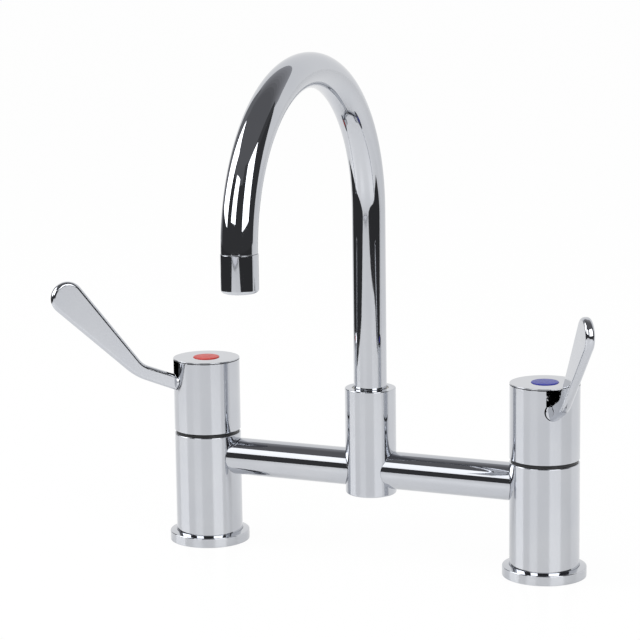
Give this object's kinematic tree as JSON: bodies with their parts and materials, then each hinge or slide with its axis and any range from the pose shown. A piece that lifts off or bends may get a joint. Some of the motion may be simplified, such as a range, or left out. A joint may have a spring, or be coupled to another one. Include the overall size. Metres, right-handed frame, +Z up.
{
  "type": "bridge kitchen faucet",
  "caption": "Deck-mounted bridge mixer faucet with hot and cold pillars, long bent levers, a joining bridge and a swivelling gooseneck spout with an aerator.",
  "frame": {"origin": "midway between the two inlets, in the plane of the worktop", "axes": "+X along the bridge from the hot pillar to the cold one, -Y towards the spout's outlet, +Z up"},
  "size_m": [0.3121, 0.1947, 0.284],
  "materials": {
    "chrome_plate": "polished",
    "brass": "machined",
    "stainless_steel": "satin",
    "black_rubber": "matte",
    "black_nylon": "matte",
    "natural_nylon": "matte",
    "ceramic": "lapped",
    "red_plastic": "gloss",
    "blue_plastic": "gloss"
  },
  "bodies": {
    "faucet_body": {"bridge_arm_o_rings": "black_rubber", "centre_body": "chrome_plate", "centre_plug": "brass", "centre_plug_o_ring": "black_rubber", "cold_base_flange": "chrome_plate", "cold_base_gasket": "black_rubber", "cold_bridge_arm": "chrome_plate", "cold_cartridge_body": "brass", "cold_fixed_disc": "ceramic", "cold_glide_ring": "black_nylon", "cold_pillar_body": "chrome_plate", "cold_seat_seal": "black_rubber", "hot_base_flange": "chrome_plate", "hot_base_gasket": "black_rubber", "hot_bridge_arm": "chrome_plate", "hot_cartridge_body": "brass", "hot_fixed_disc": "ceramic", "hot_glide_ring": "black_nylon", "hot_pillar_body": "chrome_plate", "hot_seat_seal": "black_rubber", "spout_retaining_screw": "stainless_steel"},
    "spout": {"aerator_housing": "chrome_plate", "aerator_insert": "natural_nylon", "aerator_screen": "stainless_steel", "aerator_washer": "black_rubber", "spout_foot": "brass", "spout_lower_bearing": "natural_nylon", "spout_o_rings": "black_rubber", "spout_tube": "chrome_plate", "spout_upper_bearing": "black_nylon"},
    "hot_handle": {"hot_handle_cap": "chrome_plate", "hot_handle_core": "brass", "hot_handle_screw": "stainless_steel", "hot_handle_shell": "chrome_plate", "hot_indicator": "red_plastic", "hot_lever": "chrome_plate", "hot_moving_disc": "ceramic", "hot_spindle": "brass", "hot_spindle_clip": "stainless_steel", "hot_spindle_o_rings": "black_rubber"},
    "cold_handle": {"cold_handle_cap": "chrome_plate", "cold_handle_core": "brass", "cold_handle_screw": "stainless_steel", "cold_handle_shell": "chrome_plate", "cold_indicator": "blue_plastic", "cold_lever": "chrome_plate", "cold_moving_disc": "ceramic", "cold_spindle": "brass", "cold_spindle_clip": "stainless_steel", "cold_spindle_o_rings": "black_rubber"}
  },
  "joints": [
    {"name": "spout_swivel", "type": "hinge", "parent": "faucet_body", "child": "spout", "pos_m": [0, 0, 0.08], "axis": [0, 0, 1], "continuous": true},
    {"name": "hot_lever_turn", "type": "hinge", "parent": "faucet_body", "child": "hot_handle", "pos_m": [-0.1, 0, 0.08], "axis": [0, 0, 1], "range_deg": [0, 90]},
    {"name": "cold_lever_turn", "type": "hinge", "parent": "faucet_body", "child": "cold_handle", "pos_m": [0.1, 0, 0.08], "axis": [0, 0, 1], "range_deg": [-90, 0]}
  ]
}
